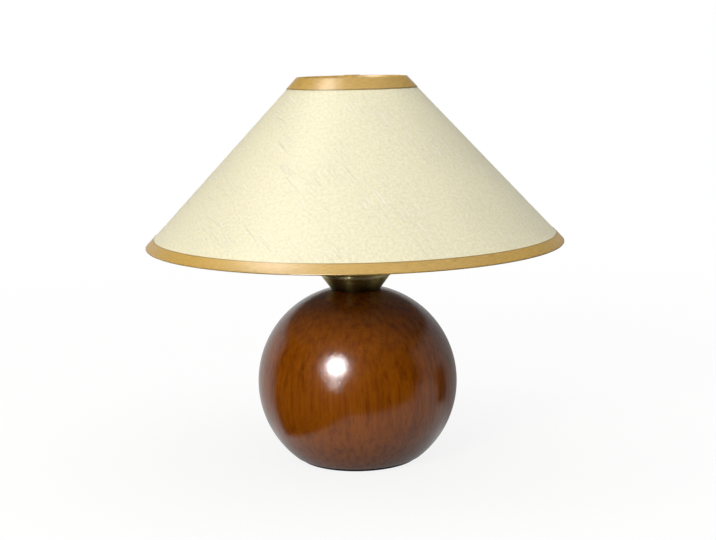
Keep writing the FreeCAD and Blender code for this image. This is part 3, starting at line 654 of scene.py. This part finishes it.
class LAMP_OT_neck(bpy.types.Operator):
    """Spin the brass neck cup"""

    bl_idname = "lamp.neck"
    bl_label = "Neck cup"

    def execute(self, context):
        seat, top = node_bottom("neck_cup"), node_top("neck_cup")
        lip_round, wall = 0.6 * MM, 0.8 * MM
        lip, lip_low = node_radius("neck_cup") - lip_round, top - 2 * lip_round
        foot, bead, bead_z, reach = 15.3 * MM, 21.6 * MM, seat + 9.3 * MM, 0.85 * MM
        lower = (bead - foot) / (bead_z - seat)
        upper = (lip - bead) / (lip_low - bead_z)
        lower_wall, upper_wall = wall * math.hypot(1, lower), wall * math.hypot(1, upper)
        below, above = bead - reach * lower, bead + reach * upper
        sleeve, soft = 5.05 * MM, 0.8 * MM
        profile = [(sleeve, seat), (foot - soft, seat)]
        profile += arc_points(foot - soft, seat + soft, soft, -80, -35, 5)
        profile += bead_points((below, bead_z - reach), (above, bead_z + reach), 1.18 * MM, 12)
        profile += arc_points(lip, top - lip_round, lip_round, -90, 90, 12)
        profile += [(lip - wall, top), (lip - upper_wall, lip_low)]
        profile += [(above - upper_wall, bead_z + reach), (below - lower_wall, bead_z - reach)]
        profile += [(foot + wall * lower - lower_wall, seat + wall), (sleeve, seat + wall)]
        cup = lathe("spun_cup", profile, context.scene.lamp_sizes.steps)
        settle(cup, "base", "antique_brass", brass_finish(), "neck_cup")
        return {"FINISHED"}


class LAMP_OT_holder(bpy.types.Operator):
    """Finish the lampholder, its insert, contacts and screws, and the tube with its nuts"""

    bl_idname = "lamp.holder"
    bl_label = "Lampholder"

    def execute(self, context):
        black = moulded_finish("black_plastic", (0.022, 0.020, 0.018), 0.38)
        zinc = metal_finish("zinc_plate", (0.62, 0.62, 0.60), 0.32)
        bright = metal_finish("bright_brass", (0.78, 0.58, 0.26), 0.25)
        paint_node("holder_cap", black)
        low, high = node_bottom("holder_shell"), node_top("holder_shell")
        cap_top, flange = node_top("holder_cap"), low + 13 * MM
        bore, skirt, wide, neck = 14.4 * MM, 18.75 * MM, 20.0 * MM, 19.7 * MM
        edge, rim, soft = 24.5 * MM, flange + 2 * MM, 0.5 * MM
        profile = [(bore, low), (skirt, low), (skirt, cap_top), (wide - soft, cap_top)]
        profile += [(wide, cap_top + soft), (wide, flange - soft), (wide + soft, flange)]
        profile += arc_points(edge - soft, flange + soft, soft, -90, 0, 5)
        profile += arc_points(edge - soft, rim - soft, soft, 0, 90, 5)
        profile += rise_rows(neck, rim, high - soft, 66)
        profile += arc_points(neck - soft, high - soft, soft, 15, 90, 5) + [(bore, high)]
        shell = lathe("screwed_shell", profile, SCREW_STEPS)
        pitch, depth = 2.6 * MM, 0.7 * MM
        cut_thread(shell, neck, rim + 1.0 * MM, high - 2.0 * MM, pitch, depth)
        smooth(shell, SCREW_SMOOTH)
        settle(shell, "base", "holder_plastic", black, "holder_shell")
        for node in ("base_washer", "base_nut", "threaded_tube", "lock_nut", "grub_screw"):
            paint_node(node, zinc)
        for node in ("side_contact", "terminal_screws", "centre_contact"):
            paint_node(node, bright)
        paint_node("holder_insert", moulded_finish("steatite", (0.80, 0.77, 0.70), 0.5))
        paint_node("shade_ring", black)
        return {"FINISHED"}


def shade_slope():
    """The slant of the shade's outside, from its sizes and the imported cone's lower edge."""
    rim, top_radius, height = 125.0 * MM, 32.5 * MM, 98.2 * MM
    slant = math.hypot(rim - top_radius, height)
    sine, cosine = (rim - top_radius) / slant, height / slant
    cone_start, cone_depth = 0.55 * MM, 0.8 * MM
    bottom = node_bottom("shade_cone") - cone_start * cosine + cone_depth * sine
    return {"rim": rim, "slant": slant, "sine": sine, "cosine": cosine, "bottom": bottom}


def slanted_profile(points):
    """Turn (along, inward) points on the shade's slant into (r, z) points."""
    slope = shade_slope()
    return [(slope["rim"] - along * slope["sine"] - inward * slope["cosine"],
             slope["bottom"] + along * slope["cosine"] - inward * slope["sine"])
            for along, inward in points]


def wrap_profile(sizes, width, fold_angle):
    """Ribbon outline in (along, inward): down the outside, under the wire and up the lining."""
    ribbon, sheet, wire = sizes.ribbon, sizes.sheet, sizes.wire
    fold = ribbon + sheet / 2
    wire_in = ribbon + sheet + wire
    lean = math.radians(fold_angle)
    reach = (sheet / 2 + wire + (wire - sheet / 2) * math.sin(lean)) / -math.cos(lean)
    wire_up = fold + reach * math.sin(lean) - (wire - sheet / 2) * math.cos(lean)
    flap_angle = 50
    flap = math.radians(90 - flap_angle)

    def flap_end(radius, depth):
        run = (wire_in + radius * math.cos(flap) - depth) / math.sin(flap)
        return (wire_up + radius * math.sin(flap) + run * math.cos(flap), depth)

    inside = ribbon + sheet + ribbon
    outer = [(width, 0.0), (width * 0.6, 0.0)]
    outer += arc_points(fold, fold, fold, 270, fold_angle, 10)
    outer += arc_points(wire_up, wire_in, wire + ribbon, fold_angle, flap_angle, 10)
    outer += [flap_end(wire + ribbon, inside), (LINING_WIDTH, inside)]
    inner = [(LINING_WIDTH, ribbon + sheet), flap_end(wire, ribbon + sheet)]
    inner += arc_points(wire_up, wire_in, wire, flap_angle, fold_angle, 10)
    inner += arc_points(fold, fold, sheet / 2, fold_angle, 270, 6)
    inner += [(width * 0.6, ribbon), (width, ribbon)]
    return outer + inner


def lap_profile(sizes, width):
    """The ribbon's end, (along, inward), that lies over its beginning round the rim."""
    fold, over = sizes.ribbon + sizes.sheet / 2, 0.25 * MM
    outer = [(width, -over), (width * 0.6, -over)]
    outer += arc_points(fold, fold, fold + over, 270, 190, 8)
    inner = [(width, HAIR), (width * 0.6, HAIR)]
    inner += arc_points(fold, fold, fold - HAIR, 270, 190, 8)
    return outer + inner[::-1]


def lap(name, profile, steps, half_width):
    """The part of a lathe's turn that reaches half_width to each side of the back, closed."""
    piece = lathe(name, profile, steps)
    reach = half_width / max(point[0] for point in profile)
    select_only(piece)
    bpy.ops.object.mode_set(mode="EDIT")
    bpy.ops.mesh.select_mode(type="VERT")
    bpy.ops.mesh.select_all(action="DESELECT")
    bpy.ops.object.mode_set(mode="OBJECT")
    for vertex in piece.data.vertices:
        vertex.select = abs(math.atan2(vertex.co.x, vertex.co.y)) > reach
    bpy.ops.object.mode_set(mode="EDIT")
    bpy.ops.mesh.delete(type="VERT")
    bpy.ops.mesh.select_all(action="SELECT")
    bpy.ops.mesh.fill_holes(sides=0)
    bpy.ops.mesh.select_all(action="SELECT")
    bpy.ops.mesh.normals_make_consistent(inside=False)
    bpy.ops.object.mode_set(mode="OBJECT")
    smooth(piece)
    return piece


def unroll(piece, cone=True):
    """Give the piece a map in metres: the unrolled cone, or along and across a ribbon."""
    slope = shade_slope()
    apex = slope["bottom"] + slope["rim"] * slope["cosine"] / slope["sine"]
    layer = piece.data.uv_layers.new(name="cloth")
    for polygon in piece.data.polygons:
        middle_turn = math.atan2(polygon.center.x, -polygon.center.y)
        for loop in polygon.loop_indices:
            point = piece.data.vertices[piece.data.loops[loop].vertex_index].co
            turn = math.atan2(point.x, -point.y)
            if turn - middle_turn > math.pi:
                turn -= 2 * math.pi
            elif middle_turn - turn > math.pi:
                turn += 2 * math.pi
            from_apex = math.hypot(point.xy.length, apex - point.z)
            if cone:
                spread = turn * slope["sine"]
                layer.data[loop].uv = (from_apex * math.sin(spread), -from_apex * math.cos(spread))
            else:
                layer.data[loop].uv = (turn * from_apex * slope["sine"], from_apex)


class LAMP_OT_shade(bpy.types.Operator):
    """Make the conical shade from its fabric and its lining"""

    bl_idname = "lamp.shade"
    bl_label = "Shade"

    def execute(self, context):
        sizes = context.scene.lamp_sizes
        slant, crepe = shade_slope()["slant"], fabric_finish()
        outside, half = sizes.ribbon, sizes.sheet * 0.5
        rows, edge = 24, outside + half
        along = evenly(edge, slant - edge, rows)

        def sheet(along, outer, inner):
            return slanted_profile([(place, outer) for place in along]
                                   + [(place, inner) for place in reversed(along)])

        fabric = lathe("shade_fabric", sheet(along, outside + GLUE, edge), sizes.steps)
        unroll(fabric)
        settle(fabric, "shade", "shade_fabric", crepe, "shade_cone")
        between = evenly(BOTTOM_WIDTH + 0.1 * MM, slant - TOP_WIDTH - 0.1 * MM, rows)
        seam = lap("seam_lap", sheet(between, 0.05 * MM, outside + GLUE), sizes.steps * 2, 5 * MM)
        unroll(seam)
        settle(seam, "shade", "shade_fabric", crepe)
        inside = outside + sizes.sheet - GLUE
        lining = lathe("shade_lining", sheet(along, edge + HAIR, inside), sizes.steps)
        settle(lining, "shade", "shade_fabric", lining_finish())
        return {"FINISHED"}


class LAMP_OT_trims(bpy.types.Operator):
    """Fold the satin ribbons round the rims"""

    bl_idname = "lamp.trims"
    bl_label = "Ribbon trims"

    def execute(self, context):
        sizes = context.scene.lamp_sizes
        slant = shade_slope()["slant"]
        satin = ribbon_finish()

        def turned_over(rows):
            return [(slant - along, inward) for along, inward in rows]

        bottom = wrap_profile(sizes, BOTTOM_WIDTH, 130)
        top = turned_over(wrap_profile(sizes, TOP_WIDTH, 170))
        for name, rows, node in (("bottom_ribbon", bottom, "bottom_trim"),
                                 ("top_ribbon", top, "top_trim")):
            ribbon = lathe(name, slanted_profile(rows), sizes.steps)
            unroll(ribbon, cone=False)
            settle(ribbon, "shade", "gold_ribbon", satin, node)
        bottom = lap_profile(sizes, BOTTOM_WIDTH - 0.2 * MM)
        top = turned_over(lap_profile(sizes, TOP_WIDTH - 0.2 * MM))
        for name, rows in (("bottom_ribbon_lap", bottom), ("top_ribbon_lap", top)):
            piece = lap(name, slanted_profile(rows), sizes.steps * 2, 6 * MM)
            unroll(piece, cone=False)
            settle(piece, "shade", "gold_ribbon", satin)
        return {"FINISHED"}


class LAMP_OT_fitter(bpy.types.Operator):
    """Finish the white wire frame of the shade"""

    bl_idname = "lamp.fitter"
    bl_label = "Shade fitter"

    def execute(self, context):
        white = moulded_finish("white_powder_coat", (0.80, 0.79, 0.75), 0.45, grain=3000,
                               depth=0.05)
        for node in ("fitter_ring", "fitter_arms", "bottom_wire", "top_wire"):
            paint_node(node, white)
        return {"FINISHED"}


class LAMP_OT_bulb(bpy.types.Operator):
    """Finish the bulb"""

    bl_idname = "lamp.bulb"
    bl_label = "Bulb"

    def execute(self, context):
        nickel = metal_finish("nickel_plate", (0.72, 0.71, 0.69), 0.2)
        paint_node("bulb_glass", opal_finish())
        low, high = node_bottom("bulb_cap"), node_top("bulb_cap")
        screw, wall, taper = 13.1 * MM, 0.4 * MM, 1.2 * MM
        foot, foot_wall = 11.62 * MM, 0.6 * MM
        profile = [(foot, low)] + rise_rows(screw, low + taper, high, 48)
        profile += rise_rows(screw - wall, low + taper + wall, high, 48)[::-1]
        profile += [(foot, low + foot_wall)]
        cap = lathe("screw_cap", profile, SCREW_STEPS)
        start, end, pitch, depth = low + taper + wall, low + 15 * MM, 3.62 * MM, 0.75 * MM
        for crest in (screw, screw - wall):
            cut_thread(cap, crest, start, end, pitch, depth)
        smooth(cap, SCREW_SMOOTH)
        settle(cap, "bulb", "nickel", nickel, "bulb_cap")
        paint_node("bulb_leads", nickel)
        paint_node("bulb_insulator", moulded_finish("black_glass", (0.012, 0.012, 0.014), 0.12))
        paint_node("bulb_contact", metal_finish("solder", (0.60, 0.60, 0.59), 0.45))
        paint_node("bulb_stem", clear_finish("clear_glass"))
        paint_node("bulb_filament", metal_finish("tungsten", (0.25, 0.25, 0.26), 0.4))
        return {"FINISHED"}


def floor_paint():
    """White floor that keeps a faint shadow, with a table of its own for reflections."""
    material = bpy.data.materials.new("pale_floor")
    material.use_nodes = True
    made = Nodes(material.node_tree)
    shader = made.tree.nodes["Principled BSDF"]
    shader.inputs["Roughness"].default_value = 0.9
    seen, glossy = made.rays()
    albedo = made.node("ShaderNodeCombineColor")
    for socket in albedo.inputs[:3]:
        made.link(made.math("MULTIPLY_ADD", seen, 0.80, 0.10), socket)
    made.link(albedo.outputs[0], shader.inputs["Base Color"])
    x, y = made.axes(made.place("Object"))[:2]
    away = made.math("SQRT", made.math("ADD", made.math("POWER", x, 2.0),
                                       made.math("POWER", y, 2.0)))

    # what the gloss shows: a table with three edges, darker to the right, in the gap,
    # close to the foot and behind it
    front_edge = made.step(y, -0.150, -0.128)
    left_edge = made.step(made.math("MULTIPLY_ADD", y, 0.35, x), -0.077, -0.067)
    back_edge = made.step(made.math("MULTIPLY_ADD", x, 0.36, y), -0.048, -0.034)
    table = made.math("MAXIMUM", made.times(front_edge, left_edge), back_edge)
    brightness = made.step(x, -0.12, 0.0, 0.66, 0.5)
    gap = made.gap(made.math("SUBTRACT", x, 0.05), made.math("ADD", y, 0.03))
    in_gap = made.times(gap, made.step(x, 0.13, 0.16))
    # painted shadow: the reflected table is darker close to the lamp's foot
    painted_foot_shade = made.step(away, 0.030, 0.070, 0.45, 1.0)
    behind_share = made.math("MULTIPLY_ADD", made.step(x, -0.02, 0.04), 0.32, 0.22)
    behind = made.times(made.step(y, 0.0, 0.05), behind_share)
    table = made.times(table, brightness, made.less(in_gap), painted_foot_shade, made.less(behind))

    # what the camera sees: the shaded floor near the lamp, and white further out
    glow = made.node("ShaderNodeEmission")
    made.link(made.math("ADD", seen, made.times(made.less(seen), table)), glow.inputs["Strength"])
    white = made.step(away, 0.15, 0.90, 0.86, 1.0)
    blend = made.node("ShaderNodeMixShader")
    made.link(made.math("MAXIMUM", made.times(seen, white), glossy), blend.inputs["Fac"])
    made.link(shader.outputs[0], blend.inputs[1])
    made.link(glow.outputs[0], blend.inputs[2])
    made.link(blend.outputs[0], made.tree.nodes["Material Output"].inputs["Surface"])
    return material


def studio_world(sky):
    """White to the camera, a soft dome that lights, and a dark room in reflections."""
    world = bpy.data.worlds.new("studio")
    world.use_nodes = True
    made = Nodes(world.node_tree)
    background = made.tree.nodes["Background"]
    background.inputs["Color"].default_value = (1, 1, 1, 1)
    seen, glossy = made.rays()
    x, y, z = made.axes(made.place("Generated"))

    # a low white backdrop behind the lamp and a grey side on its right, with the gap in them
    height = made.math("SUBTRACT", z, made.times(made.math("ABSOLUTE", x), 0.25))
    behind = made.times(made.step(y, 0.34, 0.46, 0.0, 0.54),
                        made.step(height, 0.16, 0.24, 1.0, 0.0),
                        made.step(x, -0.10, 0.50, 1.0, 0.50))
    side = made.times(made.step(x, 0.60, 0.80), made.step(y, -0.28, -0.12),
                      made.step(z, 0.46, 0.56, 0.30, 0.0))
    gap = made.times(made.gap(x, y), made.step(z, 0.04, 0.08, 1.0, 0.0))
    room = made.times(made.math("MAXIMUM", behind, side), made.less(gap))

    right_share = 0.42      # by how much the dome is brighter on the right
    dome = made.times(made.step(z, 0.50, 0.75),
                      made.math("MULTIPLY_ADD", x, sky * right_share, sky))
    unseen = made.math("ADD", made.times(glossy, room), made.times(made.less(glossy), dome))
    strength = made.math("ADD", seen, made.times(made.less(seen), unseen))
    made.link(strength, background.inputs["Strength"])
    return world


def add_lamp(name, power, size, place, aim_height, colour, missed_by):
    data = bpy.data.lights.new(name, "AREA")
    data.shape, data.energy, data.size, data.color = "DISK", power, size, colour
    lamp = bpy.data.objects.new(name, data)
    bpy.context.scene.collection.objects.link(lamp)
    lamp.location = place
    line_of_sight = Vector((0, 0, aim_height)) - Vector(place)
    lamp.rotation_euler = line_of_sight.to_track_quat("-Z", "Y").to_euler()
    setattr(lamp, "visible_" + missed_by, False)


class LAMP_OT_stage(bpy.types.Operator):
    """Set up the pale floor, the soft light and the camera"""

    bl_idname = "lamp.stage"
    bl_label = "Stage"

    def execute(self, context):
        values = context.scene.lamp_stage
        scene = context.scene
        deselect_all()
        bpy.ops.mesh.primitive_plane_add(size=FLOOR_SIZE, location=(0, 0, 0))
        floor = bpy.context.object
        floor.name = "floor"
        floor.data.materials.append(floor_paint())
        scene.world = studio_world(values.sky)
        for name, power, *settings in LAMPS:
            add_lamp(name, getattr(values, power), *settings)

        data = bpy.data.cameras.new("camera")
        data.sensor_width = SENSOR_WIDTH
        data.lens = values.lens
        camera = bpy.data.objects.new("camera", data)
        scene.collection.objects.link(camera)
        camera.location = (values.camera_side, -values.camera_distance, values.camera_height)
        camera.rotation_mode = "XYZ"
        camera.rotation_euler = (math.pi / 2 - values.camera_pitch, 0, 0)
        context.view_layer.update()
        camera.rotation_euler.rotate_axis("Z", values.camera_roll)
        scene.camera = camera
        scene.view_settings.view_transform = "Standard"
        return {"FINISHED"}


class LAMP_PT_panel(bpy.types.Panel):
    """The pieces of the lamp, in the order in which they are made"""

    bl_label = "Ball table lamp"
    bl_idname = "LAMP_PT_panel"
    bl_space_type = "VIEW_3D"
    bl_region_type = "UI"
    bl_category = "Lamp"

    def draw(self, context):
        for operator in OPERATORS:
            self.layout.operator(operator.bl_idname)
        scene = context.scene
        for group in (scene.lamp_sizes, scene.lamp_finish, scene.lamp_stage):
            box = self.layout.box()
            for name in group.bl_rna.properties.keys():
                if name not in ("rna_type", "name"):
                    box.prop(group, name)


OPERATORS = (
    LAMP_OT_ball,
    LAMP_OT_neck,
    LAMP_OT_holder,
    LAMP_OT_shade,
    LAMP_OT_trims,
    LAMP_OT_fitter,
    LAMP_OT_bulb,
    LAMP_OT_stage,
)
CLASSES = (LampSizes, LampFinish, LampStage) + OPERATORS + (LAMP_PT_panel,)


def register():
    for cls in CLASSES:
        bpy.utils.register_class(cls)
    bpy.types.Scene.lamp_sizes = PointerProperty(type=LampSizes)
    bpy.types.Scene.lamp_finish = PointerProperty(type=LampFinish)
    bpy.types.Scene.lamp_stage = PointerProperty(type=LampStage)


def unregister():
    del bpy.types.Scene.lamp_sizes
    del bpy.types.Scene.lamp_finish
    del bpy.types.Scene.lamp_stage
    for cls in reversed(CLASSES):
        bpy.utils.unregister_class(cls)


def main():
    register()
    bpy.ops.lamp.ball()
    bpy.ops.lamp.neck()
    bpy.ops.lamp.holder()
    bpy.ops.lamp.shade()
    bpy.ops.lamp.trims()
    bpy.ops.lamp.fitter()
    bpy.ops.lamp.bulb()
    bpy.ops.lamp.stage()


if __name__ == "__main__":
    main()
